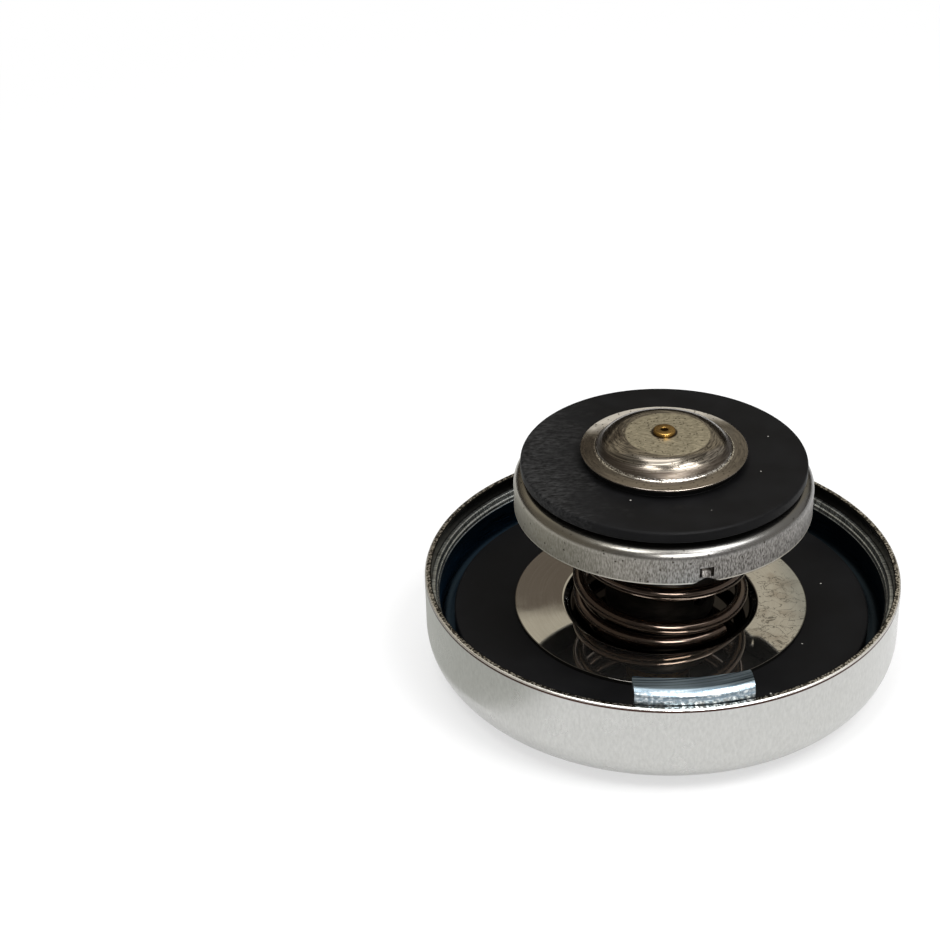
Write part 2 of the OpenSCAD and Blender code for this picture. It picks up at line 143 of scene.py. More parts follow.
def add_node(tree, kind, inputs, output=None, **settings):
    """Adds a shader node with its settings and a value or link on each input, and gives one output."""
    node = tree.nodes.new("ShaderNode" + kind)
    for name, value in settings.items():
        setattr(node, name, value)
    for key, value in inputs.items():
        socket = next(s for k, s in enumerate(node.inputs) if s.enabled and key in (k, s.name))
        if isinstance(value, bpy.types.NodeSocket):
            tree.links.new(value, socket)
        else:
            socket.default_value = value
    return node.outputs[output] if output else next((s for s in node.outputs if s.enabled), None)


def start_material(name):
    """A new, empty material: its node tree and the piece's own coordinates."""
    material = bpy.data.materials.new(name)
    material.use_nodes = True
    tree = material.node_tree
    tree.nodes.clear()
    return material, tree, add_node(tree, "TexCoord", {}, "Object")


def round_coordinates(tree, place):
    """The radius from the cap's axis, and the direction from it as a vector of length one."""
    flat = add_node(tree, "VectorMath", {0: place, 1: (1, 1, 0)}, operation="MULTIPLY")
    radius = add_node(tree, "VectorMath", {0: flat}, "Value", operation="LENGTH")
    return radius, add_node(tree, "VectorMath", {0: flat}, operation="NORMALIZE")


def dress(piece, material):
    """Gives a piece its one material."""
    piece.data.materials.clear()
    piece.data.materials.append(material)


cover = spin_section("cover_chrome", [
    (0, 0), (cover_r, 0, cover_corner_r), (cover_r, rim_z, rim_outer_round),
    (cover_in_r, rim_z, rim_inner_round), (cover_in_r, cover_t, cover_corner_r - cover_t), (0, cover_t)],
    closed=False, steps=288, arc_segments=16)

# Chrome plate on drawn steel, buffed: pale satin grey with a faint upright grain on the wall,
# painted darker at the foot as painted shade, and a bright smooth face.
# The sheared rim has an outer corner painted near-white, a painted highlight, over a thin brown line;
# it is gritty, and the inner wall under it is painted near-black, a painted shade.
chrome, tree, place = start_material("buffed_chrome_plate")
upright = add_node(tree, "Mapping", {"Vector": place, "Scale": (1, 1, 0.4)})
smears = add_node(tree, "TexNoise", {
    "Vector": upright, "Scale": 1 / (0.35 * mm), "Detail": 5, "Roughness": 0.6})
smear_share = add_node(tree, "MapRange", {"Value": smears, "From Min": 0.3, "From Max": 0.7})
plate = add_node(tree, "Mix", {
    "Factor": smear_share, "A": srgb("#b7b7b4"), "B": srgb("#c6c6c3")}, data_type="RGBA")
height = add_node(tree, "SeparateXYZ", {"Vector": place}, "Z")
# Painted shade: the wall is painted darker towards its foot, where it meets the table.
foot_shade_share = add_node(tree, "MapRange", {"Value": height, "From Min": 1.6 * mm, "From Max": 0.5 * mm})
foot_shaded = add_node(tree, "Mix", {
    "Factor": foot_shade_share, "A": plate, "B": srgb("#8b8a88")}, data_type="RGBA")
radius = round_coordinates(tree, place)[0]
within = add_node(tree, "MapRange", {
    "Value": radius, "From Min": (cover_r - 4) * mm, "From Max": (cover_r - 5.5) * mm})
lowest = add_node(tree, "MapRange", {"Value": height, "From Min": 0.7 * mm, "From Max": 0.5 * mm})
face_share = add_node(tree, "Math", {0: within, 1: lowest}, operation="MULTIPLY")
faced = add_node(tree, "Mix", {
    "Factor": face_share, "A": foot_shaded, "B": srgb("#dad9d6")}, data_type="RGBA")
brown_share = add_node(tree, "MapRange", {
    "Value": height, "From Min": (rim_z - 0.52) * mm, "From Max": (rim_z - 0.44) * mm})
lined = add_node(tree, "Mix", {
    "Factor": brown_share, "A": faced, "B": srgb("#3f261e")}, data_type="RGBA")
# Painted highlight: the outer corner of the rim is painted near-white.
rim_highlight_share = add_node(tree, "MapRange", {
    "Value": height, "From Min": (rim_z - 0.22) * mm, "From Max": (rim_z - 0.16) * mm})
rim_highlighted = add_node(tree, "Mix", {"Factor": rim_highlight_share, "A": lined, "B": srgb("#f4f2ee")}, data_type="RGBA")
edge_grain = add_node(tree, "TexNoise", {"Vector": place, "Scale": 1 / (0.3 * mm), "Detail": 3})
grit = add_node(tree, "MapRange", {"Value": edge_grain, "From Min": 0.48, "From Max": 0.6})
raw_edge = add_node(tree, "Mix", {
    "Factor": grit, "A": srgb("#3a3732"), "B": srgb("#c9c5bd")}, data_type="RGBA")
ragged = add_node(tree, "Math", {0: edge_grain, 1: 0.3 * mm, 2: radius}, operation="MULTIPLY_ADD")
inward = add_node(tree, "MapRange", {
    "Value": ragged, "From Min": (cover_r - 0.1) * mm, "From Max": (cover_r - 0.16) * mm})
upper = add_node(tree, "MapRange", {
    "Value": height, "From Min": (rim_z - 4.2) * mm, "From Max": (rim_z - 4) * mm})
raw_share = add_node(tree, "Math", {0: inward, 1: upper}, operation="MULTIPLY")
sheared = add_node(tree, "Mix", {"Factor": raw_share, "A": rim_highlighted, "B": raw_edge}, data_type="RGBA")
# Painted shade: the cover's inner wall under the rim is painted near-black.
inmost = add_node(tree, "MapRange", {
    "Value": ragged, "From Min": (cover_in_r + 0.36) * mm, "From Max": (cover_in_r + 0.28) * mm})
inner_shade_share = add_node(tree, "Math", {0: inmost, 1: upper}, operation="MULTIPLY")
colour = add_node(tree, "Mix", {
    "Factor": inner_shade_share, "A": sheared, "B": srgb("#1b1a18")}, data_type="RGBA")
clouds = add_node(tree, "TexNoise", {"Vector": place, "Scale": 1 / (6 * mm), "Detail": 4})
haze = add_node(tree, "MapRange", {
    "Value": clouds, "From Min": 0.3, "From Max": 0.7, "To Min": 0.26, "To Max": 0.34})
roughness = add_node(tree, "Math", {0: face_share, 1: -0.14, 2: haze}, operation="MULTIPLY_ADD")
rough_edge = add_node(tree, "Math", {0: edge_grain, 1: rim_highlight_share}, operation="MULTIPLY")
relief = add_node(tree, "Bump", {"Height": rough_edge, "Strength": 0.4, "Distance": 0.05 * mm})
surface = add_node(tree, "BsdfPrincipled", {
    "Base Color": colour, "Metallic": 1.0, "Roughness": roughness, "Normal": relief})
add_node(tree, "OutputMaterial", {"Surface": surface})
dress(cover, chrome)
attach(cover, "cap")
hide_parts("cover")

# Locking shell
# A shell pressed from 1.1 mm steel and zinc plated, pushed into the cover up to its floor.
# Two tabs rise from its lip and are bent inward to hook under the cams of the filler neck.
shell_t = 1.1
shell_fit = 0.02
shell_r = cover_in_r - shell_fit
shell_wall_r = shell_r - shell_t
shell_floor_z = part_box("locking_shell")[0].z / mm
shell_floor_top = shell_floor_z + shell_t
shell_corner_r = 1.4
lip_z = rim_z - 2
lip_low = lip_z - 1.45
lip_edge_round = 0.08
lip_flat_w = 0.5
lip_flat_round = 0.15
upper_step_w = 0.36
upper_step_z = lip_z - 0.75
upper_step_round = 0.06
lower_step_w = 0.16
lower_step_z = lip_z - 0.85
lower_step_round = 0.08
lip_foot_w = 0.12
lip_foot_z = lip_z - 1.35
lip_foot_round = 0.04
lip_mark_w = 0.24
rivet_r = 3.0
tab_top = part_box("locking_shell")[1].z / mm
tab_half_w = 7.95
tab_reach = 2.3
tab_in_r = shell_wall_r - tab_reach
tab_bend_r = 0.2
tab_corner_r = 1.0
tab_edge_round = 0.1
tab_sharp_angle = 50
tab_inset = 0.02
tab_outer_r = shell_r - tab_inset
tab_inner_r = shell_wall_r + tab_inset
tab_root_z = lip_z - 1.5
tab_angle = math.radians(36)


def apply_modifier(piece, kind, **settings):
    """Adds a modifier to the piece and applies it at once."""
    bpy.ops.object.select_all(action="DESELECT")
    piece.select_set(True)
    bpy.context.view_layer.objects.active = piece
    bpy.ops.object.modifier_add(type=kind)
    modifier = piece.modifiers[-1]
    for name, value in settings.items():
        setattr(modifier, name, value)
    bpy.ops.object.modifier_apply(modifier=modifier.name)


def cut_or_join(piece, tool, operation):
    """Joins a tool to the piece or cuts it out, and removes the tool."""
    apply_modifier(piece, "BOOLEAN", object=tool, operation=operation, solver="EXACT")
    bpy.data.objects.remove(tool)


def turned_copy(piece, angle):
    """A copy with its own mesh, turned about the cap's axis by an angle in degrees."""
    copy = piece.copy()
    copy.data = piece.data.copy()
    bpy.context.collection.objects.link(copy)
    copy.data.transform(Matrix.Rotation(math.radians(angle), 4, "Z"))
    return copy


shell = spin_section("locking_shell_zinc", [
    (rivet_r, shell_floor_z), (shell_r, shell_floor_z, shell_corner_r + shell_t),
    (shell_r, lip_z, lip_edge_round), (shell_wall_r + lip_flat_w, lip_z, lip_flat_round),
    (shell_wall_r + upper_step_w, upper_step_z, upper_step_round),
    (shell_wall_r + lower_step_w, lower_step_z, lower_step_round),
    (shell_wall_r + lip_foot_w, lip_foot_z, lip_foot_round), (shell_wall_r, lip_low),
    (shell_wall_r, shell_floor_top, shell_corner_r), (rivet_r, shell_floor_top)])

tab = draw_section("tab", [
    (tab_inner_r, tab_root_z), (tab_outer_r, tab_root_z), (tab_outer_r, tab_top, tab_bend_r + shell_t),
    (tab_in_r, tab_top), (tab_in_r, tab_top - shell_t), (tab_inner_r, tab_top - shell_t, tab_bend_r)],
    arc_segments=12)
bpy.ops.mesh.select_all(action="SELECT")
bpy.ops.mesh.edge_face_add()
bpy.ops.mesh.spin(steps=24, angle=tab_angle, center=(0, 0, 0), axis=(0, 0, 1))
close_mesh(tab)
tab.data.transform(Matrix.Rotation(tab_angle / 2 - math.pi / 2, 4, "Z"))
bpy.ops.object.mode_set(mode="EDIT")
for side in (-1, 1):
    bpy.ops.mesh.select_all(action="SELECT")
    bpy.ops.mesh.bisect(plane_co=(side * tab_half_w * mm, 0, 0), plane_no=(side, 0, 0), use_fill=True,
                        clear_outer=True)
corner_y = -math.sqrt(tab_in_r ** 2 - tab_half_w ** 2)
corner_reach = 0.02
select_vertices(tab, lambda at: abs(abs(at.x) - tab_half_w) < same_place
                and abs(at.y - corner_y) < corner_reach)
bpy.ops.mesh.bevel(affect="EDGES", offset=tab_corner_r * mm, segments=8)
close_mesh(tab)
apply_modifier(tab, "BEVEL", width=tab_edge_round * mm, segments=2, limit_method="ANGLE",
               angle_limit=math.radians(tab_sharp_angle))
far_tab = turned_copy(tab, 180)
cut_or_join(shell, far_tab, "UNION")
cut_or_join(shell, tab, "UNION")
bpy.ops.object.mode_set(mode="EDIT")
close_mesh(shell)


def ring_streaks(tree, place, width_mm, turns):
    """Streaks that run round the axis: fine from ring to ring and slow along the turn."""
    radius, direction = round_coordinates(tree, place)
    height = add_node(tree, "SeparateXYZ", {"Vector": place}, "Z")
    along = add_node(tree, "VectorMath", {0: direction, "Scale": turns}, operation="SCALE")
    ring = add_node(tree, "Math", {0: radius, 1: 1 / (width_mm * mm)}, operation="MULTIPLY")
    level = add_node(tree, "Math", {0: height, 1: 1 / (width_mm * mm)}, operation="MULTIPLY")
    across = add_node(tree, "CombineXYZ", {"X": ring, "Y": level})
    both = add_node(tree, "VectorMath", {0: along, 1: across}, operation="ADD")
    return add_node(tree, "TexNoise", {"Vector": both, "Scale": 1.0, "Detail": 5.0})


# Zinc plate with a blue passivation. The tabs' sides are painted pale blue-grey and mottled, and their
# flats darker and streaked: painted light and shade. The lip is neutral grey with short drag marks. The
# inner wall is painted near-black as shade, with a painted blue glow low on its left that fades in the
# floor corner; the blue tint is the passivation's own.
zinc, tree, place = start_material("blue_passivated_zinc")
drag = ring_streaks(tree, place, width_mm=0.3, turns=9)
height = add_node(tree, "SeparateXYZ", {"Vector": place}, "Z")
drag_share = add_node(tree, "MapRange", {"Value": drag, "From Min": 0.4, "From Max": 0.6})
# Painted light and shade: the tabs' flats are painted darker and their bent sides near-white.
shaded_flat_colour = add_node(tree, "Mix", {
    "Factor": drag_share, "A": srgb("#4a5862"), "B": srgb("#8a98a1")}, data_type="RGBA")
mottle = add_node(tree, "TexNoise", {"Vector": place, "Scale": 1 / (0.45 * mm), "Detail": 3})
mottle_share = add_node(tree, "MapRange", {"Value": mottle, "From Min": 0.42, "From Max": 0.6})
streaked = add_node(tree, "Math", {0: mottle_share, 1: drag_share}, operation="MULTIPLY")
lit_side_colour = add_node(tree, "Mix", {
    "Factor": streaked, "A": srgb("#7f8f9a"), "B": srgb("#e2e8ea")}, data_type="RGBA")
flat_share = add_node(tree, "MapRange", {
    "Value": height, "From Min": (tab_top - 0.3) * mm, "From Max": (tab_top - 0.06) * mm})
tab_colour = add_node(tree, "Mix", {
    "Factor": flat_share, "A": lit_side_colour, "B": shaded_flat_colour}, data_type="RGBA")
direction = round_coordinates(tree, place)[1]
around = add_node(tree, "VectorMath", {0: direction, "Scale": shell_r / lip_mark_w}, operation="SCALE")
marks = add_node(tree, "TexNoise", {"Vector": around, "Scale": 1.0, "Detail": 3})
mark_share = add_node(tree, "MapRange", {"Value": marks, "From Min": 0.36, "From Max": 0.64})
lip_colour = add_node(tree, "Mix", {
    "Factor": mark_share, "A": srgb("#7d8181"), "B": srgb("#c8ccca")}, data_type="RGBA")
# Painted shade and glow: the inner wall is near-black, with a blue glow painted low on its left.
side = add_node(tree, "SeparateXYZ", {"Vector": place}, "X")
left_share = add_node(tree, "MapRange", {
    "Value": side, "From Min": 10 * mm, "From Max": -20 * mm, "To Min": 0.2})
glow_height = add_node(tree, "MapRange", {
    "Value": height, "From Min": (shell_floor_top + 6) * mm, "From Max": (shell_floor_top + 2) * mm})
corner = add_node(tree, "MapRange", {
    "Value": height, "From Min": (shell_floor_top + 0.5) * mm, "From Max": (shell_floor_top + 1.2) * mm,
    "To Min": 0.15})
glow_fade = add_node(tree, "Math", {0: glow_height, 1: corner}, operation="MULTIPLY")
painted_glow_share = add_node(tree, "Math", {0: glow_fade, 1: left_share}, operation="MULTIPLY")
wall_shade_and_glow = add_node(tree, "Mix", {
    "Factor": painted_glow_share, "A": srgb("#222b32"), "B": srgb("#2f5575")}, data_type="RGBA")
lip_share = add_node(tree, "MapRange", {
    "Value": height, "From Min": lip_low * mm, "From Max": (lip_low + 0.08) * mm})
low_colour = add_node(tree, "Mix", {
    "Factor": lip_share, "A": wall_shade_and_glow, "B": lip_colour}, data_type="RGBA")
tab_share = add_node(tree, "MapRange", {
    "Value": height, "From Min": lip_z * mm, "From Max": (lip_z + 0.4) * mm})
colour = add_node(tree, "Mix", {"Factor": tab_share, "A": low_colour, "B": tab_colour}, data_type="RGBA")
roughness = add_node(tree, "MapRange", {
    "Value": drag, "From Min": 0.3, "From Max": 0.7, "To Min": 0.24, "To Max": 0.42})
relief = add_node(tree, "Bump", {"Height": mottle, "Strength": 0.35, "Distance": 0.03 * mm})
surface = add_node(tree, "BsdfPrincipled", {
    "Base Color": colour, "Metallic": 1.0, "Roughness": roughness, "Normal": relief})
add_node(tree, "OutputMaterial", {"Surface": surface})
dress(shell, zinc)
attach(shell, "cap")
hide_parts("locking_shell")

# Neck gasket
# A flat ring cut from black rubber sheet, laid loose on the shell's floor.
# It seals on the top of the filler neck, and the bright disc holds its inner part down.
gasket_low, gasket_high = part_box("neck_gasket")
gasket_r = gasket_high.x / mm
gasket_bore_r = 15.0
gasket_z = gasket_low.z / mm
gasket_top = gasket_high.z / mm
gasket_round = 0.3
gasket = spin_section("neck_gasket_rubber", [
    (gasket_bore_r, gasket_z, gasket_round), (gasket_r, gasket_z, gasket_round),
    (gasket_r, gasket_top, gasket_round), (gasket_bore_r, gasket_top, gasket_round)])


def scattered_specks(tree, place, spacing_mm, speck_mm, kept):
    """One where a speck lies: a share of the cells of a given spacing hold a speck each."""
    cell = add_node(tree, "TexVoronoi", {"Vector": place, "Scale": 1 / (spacing_mm * mm)}, "Color")
    chance = add_node(tree, "SeparateXYZ", {"Vector": cell}, "X")
    chosen = add_node(tree, "Math", {0: chance, 1: 1 - kept}, operation="GREATER_THAN")
    speck = speck_mm / spacing_mm
    inside = add_node(tree, "MapRange", {
        "Value": cell.node.outputs["Distance"], "From Min": speck, "From Max": 0.7 * speck})
    return add_node(tree, "Math", {0: chosen, 1: inside}, operation="MULTIPLY")


# Calendered nitrile sheet: black with a faint satin sheen and a few specks of lint.
# Its pores are drawn coarser than real ones, so that they show.
nitrile, tree, place = start_material("black_nitrile_sheet")
bloom = add_node(tree, "TexNoise", {"Vector": place, "Scale": 1 / (6 * mm), "Detail": 4})
bloom_share = add_node(tree, "MapRange", {"Value": bloom, "From Min": 0.4, "From Max": 0.7})
black = add_node(tree, "Mix", {
    "Factor": bloom_share, "A": srgb("#111112"), "B": srgb("#151516")}, data_type="RGBA")
lint = scattered_specks(tree, place, spacing_mm=3.2, speck_mm=0.15, kept=0.5)
colour = add_node(tree, "Mix", {"Factor": lint, "A": black, "B": srgb("#b9b6b0")}, data_type="RGBA")
roughness = add_node(tree, "MapRange", {
    "Value": bloom, "From Min": 0.3, "From Max": 0.7, "To Min": 0.42, "To Max": 0.55})
pores = add_node(tree, "TexNoise", {"Vector": place, "Scale": 1 / (0.15 * mm), "Detail": 3})
relief = add_node(tree, "Bump", {"Height": pores, "Strength": 0.12, "Distance": 0.02 * mm})
surface = add_node(tree, "BsdfPrincipled", {
    "Base Color": colour, "Roughness": roughness, "IOR": 1.52, "Specular IOR Level": 0.06,
    "Normal": relief})
add_node(tree, "OutputMaterial", {"Surface": surface})
dress(gasket, nitrile)
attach(gasket, "cap")
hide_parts("neck_gasket")

# Spring disc
# A bright stainless disc, blanked and dished in one stroke, that the spring stands on.
# It is riveted through its centre and holds the gasket down with its rim.
disc_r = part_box("spring_disc")[1].x / mm
disc_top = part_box("spring_disc")[1].z / mm
disc_t = 0.6
dish_r = 13.2
dish_depth = 1.05
dish_slope = 0.75
dish_under_round = 0.3
dish_lip_round = 0.2
dish_root_round = 0.35
disc_burr_round = 0.05
disc_edge_round = 0.1
dish_top = disc_top - dish_depth
dish_edge_r = dish_r + dish_slope
disc = spin_section("spring_disc_bright", [
    (rivet_r, dish_top - disc_t), (dish_r, dish_top - disc_t, dish_under_round),
    (dish_edge_r, disc_top - disc_t, dish_under_round), (disc_r, disc_top - disc_t, disc_burr_round),
    (disc_r, disc_top, disc_edge_round), (dish_edge_r, disc_top, dish_lip_round),
    (dish_r, dish_top, dish_root_round), (rivet_r, dish_top)])

# Bright-rolled stainless sheet: a grey mirror with faint rings, darker at its blanked edge.
# Dried oil has left fine dark wrinkles and brown stains on its right side. Near the rim on the right it
# is painted blue-grey, a painted reflection, and the dish is painted near-black, a painted shade under
# the spring that stops short of the rounding on the left.
bright, tree, place = start_material("bright_rolled_stainless")
rings = ring_streaks(tree, place, width_mm=0.22, turns=2)
ring_share = add_node(tree, "MapRange", {"Value": rings, "From Min": 0.35, "From Max": 0.65})
steel = add_node(tree, "Mix", {
    "Factor": ring_share, "A": srgb("#cfccc5"), "B": srgb("#d6d4ce")}, data_type="RGBA")
side = add_node(tree, "SeparateXYZ", {"Vector": place}, "X")
right_share = add_node(tree, "MapRange", {"Value": side, "From Min": 9 * mm, "From Max": 14 * mm})
smudge = add_node(tree, "TexNoise", {"Vector": place, "Scale": 1 / (4 * mm), "Detail": 5})
smudge_share = add_node(tree, "MapRange", {
    "Value": smudge, "From Min": 0.52, "From Max": 0.7, "To Max": 0.45})
stain = add_node(tree, "Math", {0: smudge_share, 1: right_share}, operation="MULTIPLY")
stained = add_node(tree, "Mix", {"Factor": stain, "A": steel, "B": srgb("#8d7a68")}, data_type="RGBA")
folds = add_node(tree, "TexNoise", {
    "Vector": place, "Scale": 1 / (2.4 * mm), "Detail": 4, "Roughness": 0.6, "Distortion": 1.2})
fold_gap = add_node(tree, "Math", {0: folds, 1: 0.13}, operation="PINGPONG")
wrinkle = add_node(tree, "MapRange", {"Value": fold_gap, "From Min": 0.024, "From Max": 0.006})
kept = add_node(tree, "MapRange", {"Value": smudge, "From Min": 0.36, "From Max": 0.5, "To Max": 0.75})
oil = add_node(tree, "Math", {0: wrinkle, 1: kept}, operation="MULTIPLY")
right_oil = add_node(tree, "Math", {0: oil, 1: right_share}, operation="MULTIPLY")
oiled = add_node(tree, "Mix", {
    "Factor": right_oil, "A": stained, "B": srgb("#3d382f")}, data_type="RGBA")
radius = round_coordinates(tree, place)[0]
edge_share = add_node(tree, "MapRange", {
    "Value": radius, "From Min": (disc_r - 0.2) * mm, "From Max": (disc_r - 0.12) * mm, "To Max": 0.8})
# Painted reflection: the right side near the rim is tinted blue-grey.
blue_reflection_share = add_node(tree, "MapRange", {
    "Value": side, "From Min": 17 * mm, "From Max": 20 * mm, "To Max": 0.5})
blue_reflected = add_node(tree, "Mix", {"Factor": blue_reflection_share, "A": oiled, "B": srgb("#8f989c")}, data_type="RGBA")
edged = add_node(tree, "Mix", {"Factor": edge_share, "A": blue_reflected, "B": srgb("#45423d")}, data_type="RGBA")
# Painted shade: the dish under the spring is painted near-black, and on the left it stops short of the
# bright rounding.
left_bright_margin = add_node(tree, "MapRange", {
    "Value": side, "From Min": -9 * mm, "From Max": -12 * mm, "To Max": 0.3 * mm})
dish_shade_edge = add_node(tree, "Math", {0: radius, 1: left_bright_margin}, operation="ADD")
wear_and_shade = add_node(tree, "MapRange", {
    "Value": dish_shade_edge, "From Min": (dish_edge_r + 0.3) * mm, "From Max": (dish_edge_r + 0.1) * mm})
colour = add_node(tree, "Mix", {"Factor": wear_and_shade, "A": edged, "B": srgb("#2a2623")}, data_type="RGBA")
roughness = add_node(tree, "MapRange", {
    "Value": smudge, "From Min": 0.35, "From Max": 0.75, "To Min": 0.02, "To Max": 0.06})
surface = add_node(tree, "BsdfPrincipled", {
    "Base Color": colour, "Metallic": 0.985, "Roughness": roughness})
add_node(tree, "OutputMaterial", {"Surface": surface})
dress(disc, bright)
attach(disc, "cap")
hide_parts("spring_disc")

# Spacer washer, centre rivet and bell
# A plain washer lifts the disc off the shell's floor, and a headed rivet clamps the stack.
# The drawn bell turns on the rivet's journal inside the spring. All are dull, oiled steel.


def dull_metal(name, dark, light, grain_mm, roughness):
    """Bare metal as it leaves the press or lathe: mottled, with a fine grain round the axis."""
    material, tree, place = start_material(name)
    grain = ring_streaks(tree, place, grain_mm, turns=4)
    patches = add_node(tree, "TexNoise", {"Vector": place, "Scale": 1 / (3 * mm), "Detail": 3})
    both = add_node(tree, "Math", {0: grain, 1: patches, 2: 0.25}, operation="MULTIPLY_ADD")
    share = add_node(tree, "MapRange", {"Value": both, "From Min": 0.35, "From Max": 0.65})
    colour = add_node(tree, "Mix", {
        "Factor": share, "A": srgb(dark), "B": srgb(light)}, data_type="RGBA")
    wear_and_shade = add_node(tree, "MapRange", {
        "Value": grain, "From Min": 0.3, "From Max": 0.7,
        "To Min": roughness - 0.08, "To Max": roughness + 0.1})
    relief = add_node(tree, "Bump", {"Height": grain, "Strength": 0.25, "Distance": 0.02 * mm})
    surface = add_node(tree, "BsdfPrincipled", {
        "Base Color": colour, "Metallic": 1.0, "Roughness": wear_and_shade, "Normal": relief})
    add_node(tree, "OutputMaterial", {"Surface": surface})
    return material


# Oiled press steel: mid grey with a faint grain round the axis.
press_steel = dull_metal("oiled_press_steel", "#6f6b66", "#8f8b85", grain_mm=0.2, roughness=0.38)
# Drawn steel, coloured nearly black brown, with a dull gleam.
near_black_steel = dull_metal("near_black_drawn_steel", "#262320", "#3a3632", grain_mm=0.25, roughness=0.42)
for node in ("spacer_washer", "centre_rivet"):
    dress(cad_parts[node], press_steel)
dress(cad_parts["bell"], near_black_steel)

# Pressure spring
# Oil-tempered wire coiled left-handed, with a closed turn at each end and the ends cut blunt.
# It stands in the dish of the disc and pushes the valve outward.
closing_turns = 1
closed_gap = 0.1
points_per_turn = 72


def coil_spring(name, z_low, z_high, outside_d, wire, open_turns, start_angle, sides):
    """A left-hand coil of round wire between two heights, with one closed turn at each end."""
    closed_rise = wire + closed_gap
    open_rise = (z_high - z_low - wire - 2 * closing_turns * closed_rise) / open_turns
    turns = open_turns + 2 * closing_turns
    steps = round(turns * points_per_turn)
    r = (outside_d - wire) / 2
    bpy.ops.object.select_all(action="DESELECT")
    bpy.ops.curve.primitive_nurbs_path_add()
    piece = bpy.context.object
    piece.name = name
    piece.data.splines.clear()
    line = piece.data.splines.new("POLY")
    line.points.add(steps)
    for k, point in enumerate(line.points):
        u = turns * k / steps
        lift = closed_rise * min(u, closing_turns) + closed_rise * max(0, u - closing_turns - open_turns)
        lift += open_rise * max(0, min(u - closing_turns, open_turns))
        angle = math.radians(start_angle - 360 * u)
        z = z_low + wire / 2 + lift
        point.co = (r * math.cos(angle) * mm, r * math.sin(angle) * mm, z * mm, 1)
    piece.data.dimensions = "3D"
    piece.data.bevel_depth = wire / 2 * mm
    piece.data.bevel_resolution = sides // 4 - 1
    piece.data.use_fill_caps = True
    bpy.ops.object.convert(target="MESH")
    bpy.ops.object.mode_set(mode="EDIT")
    return close_mesh(piece, smooth_angle=45)


spring_low, spring_high = (c.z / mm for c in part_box("pressure_spring"))
spring_d = 25.3
spring_wire = 1.9
spring = coil_spring("pressure_spring_wire", spring_low, spring_high, spring_d, spring_wire,
                     open_turns=2.6, start_angle=-49.4, sides=24)

# Oil-tempered spring wire: a skin of black-brown iron oxide with thin coppery gleams and fine marks.
# The drawing lines are coarser than real ones, so that they show.
tempered, tree, place = start_material("oil_tempered_wire")
scale_marks = add_node(tree, "TexNoise", {"Vector": place, "Scale": 1 / (0.7 * mm), "Detail": 5})
lengthwise = add_node(tree, "Mapping", {"Vector": place, "Scale": (0.08, 0.08, 1)})
draw_lines = add_node(tree, "TexNoise", {"Vector": lengthwise, "Scale": 1 / (0.15 * mm), "Detail": 3})
scale_share = add_node(tree, "MapRange", {"Value": scale_marks, "From Min": 0.4, "From Max": 0.68})
colour = add_node(tree, "Mix", {
    "Factor": scale_share, "A": srgb("#0f0b09"), "B": srgb("#241811")}, data_type="RGBA")
roughness = add_node(tree, "MapRange", {
    "Value": scale_marks, "From Min": 0.3, "From Max": 0.7, "To Min": 0.12, "To Max": 0.22})
relief = add_node(tree, "Bump", {"Height": draw_lines, "Strength": 0.12, "Distance": 0.02 * mm})
surface = add_node(tree, "BsdfPrincipled", {
    "Base Color": colour, "Roughness": roughness, "IOR": 2.0, "Specular Tint": srgb("#efd3c0"),
    "Normal": relief})
add_node(tree, "OutputMaterial", {"Surface": surface})
dress(spring, tempered)
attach(spring, "stem")
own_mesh(spring)
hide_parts("pressure_spring")

# Valve cup
# A shallow cup drawn from thin steel, with a raised platform for the seal and a round shoulder.
# Three nibs are sheared and pushed inward from its skirt to keep the spring's seat in.
cup_low, cup_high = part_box("valve_cup")
cup_r = cup_high.x / mm
skirt_z = cup_low.z / mm
platform_top = cup_high.z / mm
cup_t = 0.6
cup_in_r = cup_r - cup_t
platform_h = 0.8
shoulder_top = platform_top - platform_h
shoulder_r = 1.6
step_r = 18.2
step_wide = 0.68
step_tight = 0.1
post_r = 4.7
crease_z = skirt_z + 3.5
crease_step = 0.04
skirt_edge_round = 0.1
skirt_edge_h = 0.2
nib_w = 1.3
nib_root = 0.75
nib_h = 2.05
nib_push = 0.55
nib_slit = 0.34
nib_overlap = 0.2
nib_inset = 0.02
nib_tip_h = 0.1
nib_round = 0.12
cut_past = 1
arch_h = 0.8
arch_half_w = 2.0
nib_angle = 8.2 - 90
nib_count = 3
cup = spin_section("valve_cup_drawn", [
    (post_r, platform_top), (step_r, platform_top, step_wide), (step_r, shoulder_top, step_tight),
    (cup_r, shoulder_top, shoulder_r), (cup_r, crease_z), (cup_r - crease_step, crease_z - crease_step),
    (cup_r - crease_step, skirt_z, skirt_edge_round), (cup_in_r, skirt_z, skirt_edge_round),
    (cup_in_r, shoulder_top - cup_t, shoulder_r - cup_t),
    (step_r - cup_t, shoulder_top - cup_t, step_wide),
    (step_r - cup_t, platform_top - cup_t, step_tight), (post_r, platform_top - cup_t)])


def add_block(name, low, high):
    """A block between two corners in millimetres."""
    bpy.ops.object.select_all(action="DESELECT")
    bpy.ops.mesh.primitive_cube_add(size=1, location=[(a + b) / 2 * mm for a, b in zip(low, high)])
    block = bpy.context.object
    block.name = name
    block.scale = [(b - a) * mm for a, b in zip(low, high)]
    bpy.ops.object.transform_apply()
    return block


